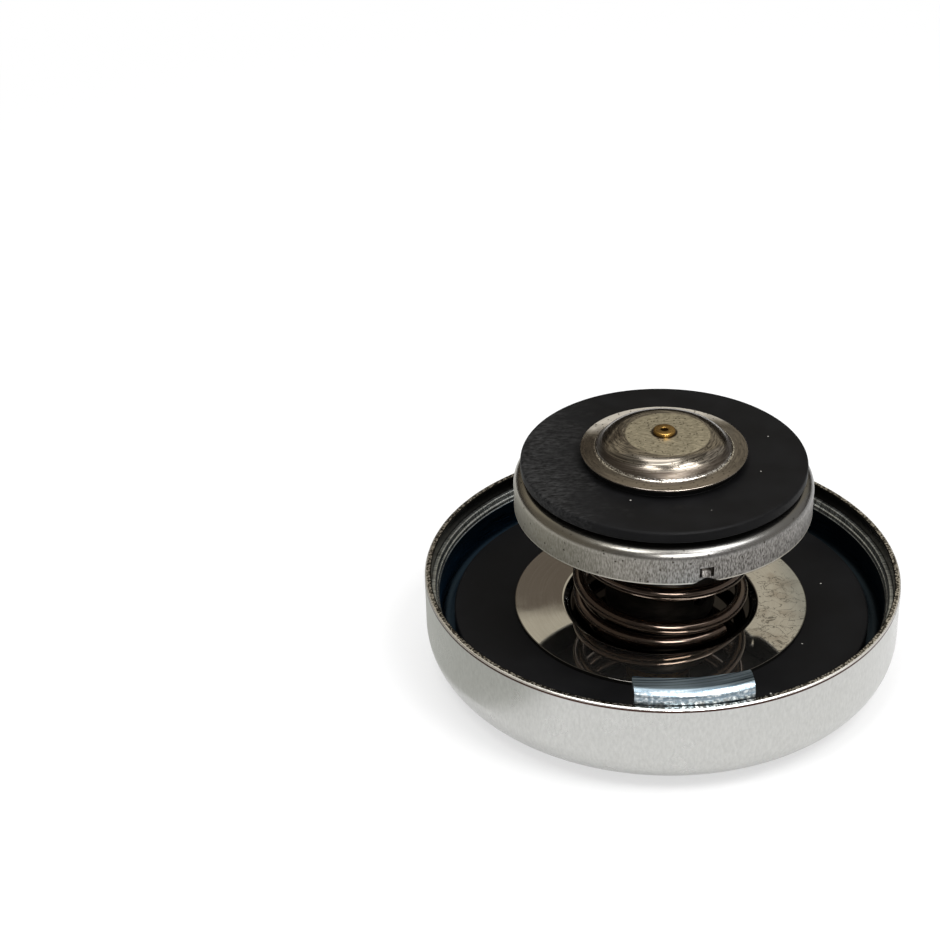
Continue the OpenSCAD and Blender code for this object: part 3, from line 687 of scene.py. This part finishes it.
nib_turns = [math.radians(nib_angle + 360 * k / nib_count) for k in range(nib_count)]
for vertex in cup.data.vertices:
    if vertex.co.z < (skirt_z + skirt_edge_h) * mm:
        here = math.atan2(vertex.co.y, vertex.co.x)
        around = min(abs(math.remainder(here - turn, math.tau)) for turn in nib_turns)
        along = min(1, cup_r * around / arch_half_w)
        vertex.co.z += arch_h * mm * (0.5 + 0.5 * math.cos(math.pi * along))
for turn in nib_turns:
    window = add_block(
        "window", (cup_in_r - cut_past, -nib_w / 2 - nib_slit, skirt_z + nib_root + nib_overlap),
        (cup_r + cut_past, nib_w / 2 + nib_slit, skirt_z + nib_h + nib_slit))
    window.data.transform(Matrix.Rotation(turn, 4, "Z"))
    cut_or_join(cup, window, "DIFFERENCE")
    nib = add_block("nib", (cup_in_r, -nib_w / 2, skirt_z + nib_root + nib_inset),
                    (cup_r - crease_step - nib_inset, nib_w / 2, skirt_z + nib_h))
    bpy.ops.object.mode_set(mode="EDIT")
    select_vertices(nib, lambda at: at.z > skirt_z + nib_h - nib_tip_h)
    bpy.ops.transform.translate(value=(-nib_push * mm, 0, 0))
    bpy.ops.object.mode_set(mode="OBJECT")
    apply_modifier(nib, "BEVEL", width=nib_round * mm, segments=2)
    nib.data.transform(Matrix.Rotation(turn, 4, "Z"))
    cut_or_join(cup, nib, "UNION")
bpy.ops.object.mode_set(mode="EDIT")
close_mesh(cup)

# Drawn steel: the shoulder is burnished smooth by the die, and the skirt under the crease is satin
# grey, mottled with short upright marks and dark pits. The left side is painted paler and warmer,
# painted light; the cut edge is pale, and the inside is painted dark, a painted shade under the cup.
tumbled, tree, place = start_material("drawn_steel_lit_left")
upright = add_node(tree, "Mapping", {"Vector": place, "Scale": (1, 1, 0.3)})
grain = add_node(tree, "TexNoise", {"Vector": upright, "Scale": 1 / (0.17 * mm), "Detail": 4})
grain_share = add_node(tree, "MapRange", {"Value": grain, "From Min": 0.38, "From Max": 0.62})
skirt_colour = add_node(tree, "Mix", {
    "Factor": grain_share, "A": srgb("#55524e"), "B": srgb("#9c9995")}, data_type="RGBA")
height = add_node(tree, "SeparateXYZ", {"Vector": place}, "Z")
burnish = add_node(tree, "MapRange", {
    "Value": height, "From Min": (crease_z - 0.1) * mm, "From Max": (crease_z + 1.0) * mm})
bare = add_node(tree, "Mix", {
    "Factor": burnish, "A": skirt_colour, "B": srgb("#7a7977")}, data_type="RGBA")
side = add_node(tree, "SeparateXYZ", {"Vector": place}, "X")
# Painted light: the left side of the cup is painted paler and warmer.
left_light_share = add_node(tree, "MapRange", {
    "Value": side, "From Min": 2 * mm, "From Max": -18 * mm, "To Max": 0.6})
left_lightened = add_node(tree, "Mix", {"Factor": left_light_share, "A": bare, "B": srgb("#a09b8d")}, data_type="RGBA")
pits = scattered_specks(tree, place, spacing_mm=0.8, speck_mm=0.17, kept=0.25)
pitted = add_node(tree, "Mix", {"Factor": pits, "A": left_lightened, "B": srgb("#45413c")}, data_type="RGBA")
cut_share = add_node(tree, "MapRange", {
    "Value": height, "From Min": (skirt_z + 0.3) * mm, "From Max": (skirt_z + 0.2) * mm})
radius = round_coordinates(tree, place)[0]
outer_share = add_node(tree, "MapRange", {
    "Value": radius, "From Min": (cup_r - 0.2) * mm, "From Max": (cup_r - 0.12) * mm})
corner_share = add_node(tree, "Math", {0: cut_share, 1: outer_share}, operation="MULTIPLY")
edged = add_node(tree, "Mix", {
    "Factor": corner_share, "A": pitted, "B": srgb("#cdc8bd")}, data_type="RGBA")
# Painted shade: the inside of the cup is painted dark.
inward = add_node(tree, "MapRange", {
    "Value": radius, "From Min": (cup_in_r + 0.2) * mm, "From Max": (cup_in_r + 0.12) * mm})
under = add_node(tree, "MapRange", {
    "Value": height, "From Min": (shoulder_top - 0.53) * mm, "From Max": (shoulder_top - 0.57) * mm})
inside = add_node(tree, "Math", {0: inward, 1: under}, operation="MULTIPLY")
colour = add_node(tree, "Mix", {"Factor": inside, "A": edged, "B": srgb("#2e2b28")}, data_type="RGBA")
roughness = add_node(tree, "MapRange", {"Value": burnish, "To Min": 0.36, "To Max": 0.26})
skirt_share = add_node(tree, "MapRange", {"Value": burnish, "To Min": 0.3, "To Max": 0.06})
relief = add_node(tree, "Bump", {"Height": grain, "Strength": skirt_share, "Distance": 0.02 * mm})
surface = add_node(tree, "BsdfPrincipled", {
    "Base Color": colour, "Metallic": 1.0, "Roughness": roughness, "Normal": relief})
add_node(tree, "OutputMaterial", {"Surface": surface})
dress(cup, tumbled)
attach(cup, "pressure_valve")
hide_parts("valve_cup")

# Spring seat, seal washer and valve post
# The seat is a pressed plate that the spring bears on. The turned brass post holds the cup,
# and its peened rim clamps the seal under a steel washer.
dress(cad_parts["spring_seat"], near_black_steel)
dress(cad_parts["seal_washer"], press_steel)
# Turned brass: warm yellow with fine tool rings, mottled with brown.
brass = dull_metal("turned_brass", "#6a5029", "#a8864a", grain_mm=0.09, roughness=0.3)
dress(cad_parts["valve_post"], brass)

# Pressure seal
# A thick ring moulded in black rubber, laid on the cup's platform.
# A low lip moulded on its face is what the vacuum hat closes on.
seal_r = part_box("pressure_seal")[1].x / mm
seal_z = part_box("pressure_seal")[0].z / mm
seal_t = 1.65
seal_face = seal_z + seal_t
lip_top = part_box("pressure_seal")[1].z / mm
lip_in_r = 9.5
lip_out_r = 10.9
seal_round = 0.25
seal_edge_round = 0.45
lip_root_round = 0.1
seal = spin_section("pressure_seal_rubber", [
    (post_r, seal_z), (seal_r, seal_z, seal_round), (seal_r, seal_face, seal_edge_round),
    (lip_out_r, seal_face, lip_root_round), (lip_out_r, lip_top, seal_round),
    (lip_in_r, lip_top, seal_round), (lip_in_r, seal_face, lip_root_round), (post_r, seal_face)])

# Moulded rubber: matt black, with grey slanted streaks on its left side and a little lint.
rubber, tree, place = start_material("moulded_black_rubber")
wash = add_node(tree, "TexNoise", {"Vector": place, "Scale": 1 / (4.5 * mm), "Detail": 5})
wash_share = add_node(tree, "MapRange", {"Value": wash, "From Min": 0.4, "From Max": 0.7})
base = add_node(tree, "Mix", {
    "Factor": wash_share, "A": srgb("#0f0f10"), "B": srgb("#151516")}, data_type="RGBA")
slanted = add_node(tree, "Mapping", {
    "Vector": place, "Rotation": (0, 0, math.radians(20)), "Scale": (0.35, 1, 1)})
noisy_pattern = add_node(tree, "TexNoise", {
    "Vector": slanted, "Scale": 1 / (0.32 * mm), "Detail": 6, "Roughness": 0.65})
side = add_node(tree, "SeparateXYZ", {"Vector": place}, "X")
border = add_node(tree, "Math", {0: wash, 1: 16 * mm, 2: side}, operation="MULTIPLY_ADD")
left_share = add_node(tree, "MapRange", {"Value": border, "From Min": 0, "From Max": -9 * mm})
rubbed_share = add_node(tree, "MapRange", {"Value": noisy_pattern, "From Min": 0.4, "From Max": 0.75})
left_streaks = add_node(tree, "Math", {0: rubbed_share, 1: left_share}, operation="MULTIPLY")
wear_and_shade = add_node(tree, "Mix", {"Factor": left_streaks, "A": base, "B": srgb("#3d3d3d")}, data_type="RGBA")
lint = scattered_specks(tree, place, spacing_mm=2.6, speck_mm=0.15, kept=0.5)
colour = add_node(tree, "Mix", {"Factor": lint, "A": wear_and_shade, "B": srgb("#a8a59f")}, data_type="RGBA")
roughness = add_node(tree, "MapRange", {
    "Value": wash, "From Min": 0.3, "From Max": 0.7, "To Min": 0.45, "To Max": 0.6})
relief = add_node(tree, "Bump", {"Height": noisy_pattern, "Strength": 0.2, "Distance": 0.04 * mm})
surface = add_node(tree, "BsdfPrincipled", {
    "Base Color": colour, "Roughness": roughness, "IOR": 1.52, "Specular IOR Level": 0.07,
    "Normal": relief})
add_node(tree, "OutputMaterial", {"Surface": surface})
dress(seal, rubber)
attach(seal, "pressure_valve")
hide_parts("pressure_seal")

# Vacuum spring and stem keeper
# A fine wire spring round the hollow stem, between the post's web and a small washer.
# It holds the vacuum hat closed on the seal.
fine_low, fine_high = (c.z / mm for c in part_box("vacuum_spring"))
fine_d = 5.4
fine_wire_d = 0.5
fine_spring = coil_spring("vacuum_spring_wire", fine_low, fine_high, fine_d, fine_wire_d,
                          open_turns=3, start_angle=0, sides=12)
# Bright drawn wire: pale grey with a soft gleam.
fine_wire = dull_metal("bright_drawn_wire", "#8f8b85", "#bdb9b2", grain_mm=0.1, roughness=0.25)
dress(fine_spring, fine_wire)
dress(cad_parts["stem_keeper"], press_steel)
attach(fine_spring, "pressure_valve")
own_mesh(fine_spring)
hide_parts("vacuum_spring")

# Vacuum hat
# A small hat pressed from thin stainless: a flat crown, a round dome and a plain brim.
# It closes on the lip of the seal and lifts when the system cools.
brim_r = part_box("vacuum_hat")[1].x / mm
brim_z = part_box("vacuum_hat")[0].z / mm
crown_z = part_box("vacuum_hat")[1].z / mm
hat_t = 0.5
brim_top = brim_z + hat_t
brim_fall = 0.12
brim_edge_round = 0.1
brim_under_round = 0.12
dome_r = 8.3
dome_round = 2.3
crown_r = dome_r - dome_round
dome_root_r = 9.5
dome_root_round = 0.16
dome_in_r = 8.0
dome_in_round = 2.0
dome_in_root_r = 9.2
dome_in_root_round = 0.55
bright_root_r = 9.55
stem_r = 1.0
hat = spin_section("vacuum_hat_pressed", [
    (stem_r, crown_z), (dome_r, crown_z, dome_round), (dome_root_r, brim_top, dome_root_round),
    (brim_r, brim_top - brim_fall, brim_edge_round), (brim_r, brim_z, brim_under_round),
    (dome_in_root_r, brim_z, dome_in_root_round), (dome_in_r, crown_z - hat_t, dome_in_round),
    (stem_r, crown_z - hat_t)], arc_segments=14)

# Pressed stainless: the crown is warm grey, line-brushed and pitted, with a ring of painted shade at the
# stem.
# The dome is polished, with fine rings, and painted darker than the crown, its edge set off-centre so
# that the painted dark band is wider behind the crown; low down it is dull and painted dark brown, a
# painted shade. The root is a ring of painted bright glints at the front and painted shade on the far
# side, and the brim is painted pale at the front and near-white at the back, painted highlights.
# The brush lines are drawn coarser than real ones, so that they show.
pressed, tree, place = start_material("line_brushed_stainless")
slanted = add_node(tree, "Mapping", {
    "Vector": place, "Rotation": (0, 0, math.radians(-24)), "Scale": (0.35, 1, 1)})
brushing = add_node(tree, "TexNoise", {
    "Vector": slanted, "Scale": 1 / (0.2 * mm), "Detail": 5, "Roughness": 0.65})
brush_share = add_node(tree, "MapRange", {"Value": brushing, "From Min": 0.36, "From Max": 0.62})
crown = add_node(tree, "Mix", {
    "Factor": brush_share, "A": srgb("#8d8674"), "B": srgb("#cbc3ad")}, data_type="RGBA")
# Painted shade: the dome is painted darker than the crown, and dark brown low down.
drag = ring_streaks(tree, place, width_mm=0.2, turns=5)
drag_share = add_node(tree, "MapRange", {"Value": drag, "From Min": 0.38, "From Max": 0.64})
dome = add_node(tree, "Mix", {
    "Factor": drag_share, "A": srgb("#5a554e"), "B": srgb("#a59d91")}, data_type="RGBA")
radius = round_coordinates(tree, place)[0]
slope_full = 0.75
slope_share = add_node(tree, "MapRange", {
    "Value": radius, "From Min": (dome_r + 0.1) * mm, "From Max": (dome_r + 0.5) * mm,
    "To Max": slope_full})
slope_shaded = add_node(tree, "Mix", {
    "Factor": slope_share, "A": dome, "B": srgb("#3f362f")}, data_type="RGBA")
# The crown's edge is set off-centre, so that the dome's painted dark band is wider behind the crown.
crown_place = add_node(tree, "Mapping", {"Vector": place, "Location": (-0.4 * mm, 0.5 * mm, 0)})
crown_radius = round_coordinates(tree, crown_place)[0]
crown_share = add_node(tree, "MapRange", {
    "Value": crown_radius, "From Min": crown_r * mm, "From Max": (crown_r - 0.25) * mm})
clean = add_node(tree, "Mix", {"Factor": crown_share, "A": slope_shaded, "B": crown}, data_type="RGBA")
depth = add_node(tree, "SeparateXYZ", {"Vector": place}, "Y")
# Painted highlights: the brim is painted near-white at the back and pale at the front.
brim_share = add_node(tree, "MapRange", {
    "Value": radius, "From Min": (dome_root_r - 0.15) * mm, "From Max": (dome_root_r - 0.05) * mm})
patch_noise = add_node(tree, "TexNoise", {"Vector": place, "Scale": 1 / (3 * mm), "Detail": 3})
noisy_pattern = add_node(tree, "Math", {0: patch_noise, 1: 8 * mm, 2: depth}, operation="MULTIPLY_ADD")
back_highlight_share = add_node(tree, "MapRange", {"Value": noisy_pattern, "From Min": 7.5 * mm, "From Max": 12 * mm})
brim = add_node(tree, "Mix", {
    "Factor": back_highlight_share, "A": srgb("#66605a"), "B": srgb("#f4f0e8")}, data_type="RGBA")
near_brim = add_node(tree, "MapRange", {
    "Value": depth, "From Min": -6 * mm, "From Max": -10 * mm, "To Max": 0.7})
pale_brim = add_node(tree, "Mix", {
    "Factor": near_brim, "A": brim, "B": srgb("#b5aaa0")}, data_type="RGBA")
ringed_brim = add_node(tree, "Mix", {"Factor": 0.4, "A": pale_brim, "B": dome}, data_type="RGBA")
brimmed = add_node(tree, "Mix", {"Factor": brim_share, "A": clean, "B": ringed_brim}, data_type="RGBA")
off_root = add_node(tree, "Math", {0: radius, 1: bright_root_r * mm}, operation="SUBTRACT")
root_gap = add_node(tree, "Math", {0: off_root}, operation="ABSOLUTE")
root_share = add_node(tree, "MapRange", {
    "Value": root_gap, "From Min": 0.24 * mm, "From Max": 0.14 * mm})
# Painted shade: the root ring is painted dark on the far side.
far_root = add_node(tree, "MapRange", {"Value": depth, "From Min": 1 * mm, "From Max": 6 * mm})
root_shade = add_node(tree, "Math", {0: root_share, 1: far_root}, operation="MULTIPLY")
rooted = add_node(tree, "Mix", {
    "Factor": root_shade, "A": brimmed, "B": srgb("#2f2a25")}, data_type="RGBA")
# Painted glints: near-white specks on the front of the root ring.
speckle = add_node(tree, "TexNoise", {"Vector": place, "Scale": 1 / (0.2 * mm), "Detail": 2})
speckle_share = add_node(tree, "MapRange", {"Value": speckle, "From Min": 0.45, "From Max": 0.6})
root_glint_mask = add_node(tree, "Math", {0: root_share, 1: speckle_share}, operation="MULTIPLY")
near_share = add_node(tree, "MapRange", {"Value": depth, "From Min": 5 * mm, "From Max": 3 * mm})
front_root_glint = add_node(tree, "Math", {0: root_glint_mask, 1: near_share}, operation="MULTIPLY")
painted_glints = add_node(tree, "Mix", {
    "Factor": front_root_glint, "A": rooted, "B": srgb("#f2efe8")}, data_type="RGBA")
pits = scattered_specks(tree, place, spacing_mm=0.45, speck_mm=0.14, kept=0.4)
pitted = add_node(tree, "Mix", {"Factor": pits, "A": painted_glints, "B": srgb("#4d473c")}, data_type="RGBA")
# Painted shade: a dark ring round the stem on the crown.
stem_ring_r = 1.95
ring_share = add_node(tree, "MapRange", {
    "Value": radius, "From Min": stem_ring_r * mm, "From Max": (stem_ring_r - 0.2) * mm})
colour = add_node(tree, "Mix", {
    "Factor": ring_share, "A": pitted, "B": srgb("#3a3128")}, data_type="RGBA")
far_brim = add_node(tree, "Math", {0: back_highlight_share, 1: brim_share}, operation="MULTIPLY")
die_polish = 0.16
brushed = add_node(tree, "MapRange", {"Value": crown_share, "To Min": die_polish, "To Max": 0.4})
hazed = add_node(tree, "MapRange", {"Value": far_brim, "To Min": die_polish, "To Max": 0.6})
slope_only = add_node(tree, "Math", {
    0: slope_share, 1: brim_share}, operation="SUBTRACT", use_clamp=True)
dulled = add_node(tree, "MapRange", {
    "Value": slope_only, "From Max": slope_full, "To Min": die_polish, "To Max": 0.4})
pressed_part = add_node(tree, "Math", {0: hazed, 1: dulled}, operation="MAXIMUM")
roughness = add_node(tree, "Math", {0: brushed, 1: pressed_part}, operation="MAXIMUM")
relief = add_node(tree, "Bump", {"Height": brushing, "Strength": 0.3, "Distance": 0.015 * mm})
surface = add_node(tree, "BsdfPrincipled", {
    "Base Color": colour, "Metallic": 1.0, "Roughness": roughness, "Normal": relief})
add_node(tree, "OutputMaterial", {"Surface": surface})
dress(hat, pressed)
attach(hat, "vacuum_valve")
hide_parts("vacuum_hat")

# Vacuum stem
# A hollow stem turned from brass, headed over the crown of the hat and peened under its keeper.
# Its bore shows as a small dark hole.
stem_low, stem_high = (c.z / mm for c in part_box("vacuum_stem"))
bore_r = 0.5
head_r = 1.55
keeper_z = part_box("stem_keeper")[0].z / mm
end_r = 1.4
stem_shoulder_h = 0.9
shoulder_low = crown_z - hat_t - stem_shoulder_h
peened_round = 0.1
head_round = 0.2
bore_round = 0.15
stem = spin_section("vacuum_stem_brass", [
    (bore_r, stem_low), (end_r, stem_low, peened_round), (end_r, keeper_z), (stem_r, keeper_z),
    (stem_r, shoulder_low), (head_r, shoulder_low), (head_r, crown_z - hat_t), (stem_r, crown_z - hat_t),
    (stem_r, crown_z), (head_r, crown_z), (head_r, stem_high, head_round),
    (bore_r, stem_high, bore_round)], steps=96, arc_segments=5)
dress(stem, brass)
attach(stem, "vacuum_valve")
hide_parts("vacuum_stem")

# Studio
# A white table under three soft boxes, in a room whose walls and window only reflections see.
# The table is white to the camera and in reflections, and keeps the cap's shadow close to it.
upright_turn = math.pi / 2
window_turn = (math.radians(50), 0, math.radians(12))


def add_card(name, width, height, location, turn=(0, 0, 0)):
    """A flat rectangle of the stage."""
    bpy.ops.object.select_all(action="DESELECT")
    bpy.ops.mesh.primitive_plane_add(size=1, location=location, rotation=turn)
    card = bpy.context.object
    card.name = name
    card.scale = (width, height, 1)
    return card


def seen_directly(tree):
    """One for a ray from the camera, or by reflection or through glass."""
    by_camera = add_node(tree, "LightPath", {}, "Is Camera Ray")
    path = by_camera.node.outputs
    either = add_node(tree, "Math", {0: by_camera, 1: path["Is Glossy Ray"]}, operation="MAXIMUM")
    return add_node(tree, "Math", {0: either, 1: path["Is Transmission Ray"]}, operation="MAXIMUM")


table_size = 8
table_drop = 0.02
shadow_reach = 0.09
white_reach = 0.3
table = add_card("table_top", table_size, table_size, (0, 0, -table_drop * mm))
white, tree, place = start_material("white_table")
lit = add_node(tree, "BsdfDiffuse", {"Color": srgb("#fafafa")})
glow = add_node(tree, "Emission", {"Color": (1, 1, 1, 1), "Strength": 1.0})
distance = add_node(tree, "VectorMath", {0: place}, "Value", operation="LENGTH")
level = add_node(tree, "MapRange", {
    "Value": distance, "From Min": shadow_reach / table_size, "From Max": white_reach / table_size,
    "To Min": 0.6})
glow_share = add_node(tree, "Math", {0: seen_directly(tree), 1: level}, operation="MULTIPLY")
surface = add_node(tree, "MixShader", {0: glow_share, 1: lit, 2: glow})
add_node(tree, "OutputMaterial", {"Surface": surface})
dress(table, white)

# A card's name, width, height, place and turn, in metres, and the colour and strength of its glow.
room = (
    ("back_wall", 4.0, 1.9, (0, 1.0, 0.93), (upright_turn, 0, 0), "#bfb8a8", 1),
    ("brown_shelf", 2.0, 0.2, (-0.88, 0.99, 0.6), (upright_turn, 0, 0), "#6a6157", 1),
    ("dark_bench", 4.0, 0.24, (0, 0.4, 0.08), (upright_turn, 0, 0), "#3a352f", 1),
    ("left_wall", 2.4, 1.9, (-1.2, 0, 0.93), (upright_turn, 0, upright_turn), "#8a847a", 1),
    ("right_wall", 2.4, 1.9, (1.2, 0, 0.93), (upright_turn, 0, upright_turn), "#b9b6b1", 1),
    ("front_wall", 2.4, 1.9, (0, -1.2, 0.93), (upright_turn, 0, 0), "#6f6c69", 1),
    ("ceiling", 3.0, 3.0, (0, 0, 1.7), (0, 0, 0), "#99958d", 1),
    # The next card is a grey patch on the table that only reflections see, a painted reflection of shade
    # on the left of the cover's wall.
    ("reflected_shade_patch", 0.07, 0.12, (-0.07, 0.02, 0.0002), (0, 0, 0), "#cccdc8", 1),
    ("front_window", 0.4, 0.26, (0.143, -0.674, 0.579), window_turn, "#ffffff", 22),
)
for name, width, height, spot, turn, shade, strength in room:
    card = add_card(name, width, height, spot, turn)
    paint, tree, place = start_material(name + "_paint")
    glow = add_node(tree, "Emission", {"Color": srgb(shade), "Strength": strength})
    add_node(tree, "OutputMaterial", {"Surface": glow})
    dress(card, paint)
    card.visible_camera = False
    card.visible_diffuse = False
    card.visible_shadow = False
    card.visible_transmission = False

# A lamp's name, its place and size in metres, and its watts.
lamps = (
    ("right_box", (0.326, -0.206, 0.7), 0.36, 3.6),
    ("left_box", (-0.218, -0.21, 0.74), 0.22, 1.6),
    ("top_box", (0.0, 0.12, 0.85), 0.4, 1.9),
)
aim = Vector((0, 0, 0.02))
for name, spot, size, watts in lamps:
    light = bpy.data.lights.new(name, "AREA")
    light.size = size
    light.energy = watts
    lamp = bpy.data.objects.new(name, light)
    bpy.context.collection.objects.link(lamp)
    lamp.location = spot
    lamp.rotation_euler = (aim - Vector(spot)).to_track_quat("-Z", "Y").to_euler()

world = bpy.data.worlds.new("white_room")
bpy.context.scene.world = world
world.use_nodes = True
tree = world.node_tree
tree.nodes.clear()
level = add_node(tree, "MapRange", {"Value": seen_directly(tree), "To Min": 0.4, "To Max": 1.0})
sky = add_node(tree, "Background", {"Color": (1, 1, 1, 1), "Strength": level})
add_node(tree, "OutputWorld", {"Surface": sky})

# Camera
# It looks from the photograph's side, 31 degrees above the table and a little to the left.
# Its place, turn and roll were fitted to the round outlines of the cap.
eye = Vector((-37.56, -242.60, 176.36)) * mm
turn = math.radians(2.48)
look_down = math.radians(30.76)
roll = math.radians(-1.72)
camera_data = bpy.data.cameras.new("camera")
camera_data.lens = 77.85
camera_data.sensor_width = 36
camera_data.clip_start = 0.01
camera = bpy.data.objects.new("camera", camera_data)
bpy.context.collection.objects.link(camera)
heading = Matrix.Rotation(-turn, 4, "Z") @ Matrix.Rotation(math.pi / 2 - look_down, 4, "X")
camera.matrix_world = Matrix.Translation(eye) @ heading @ Matrix.Rotation(roll, 4, "Z")
bpy.context.scene.camera = camera
bpy.context.scene.view_settings.view_transform = "Standard"
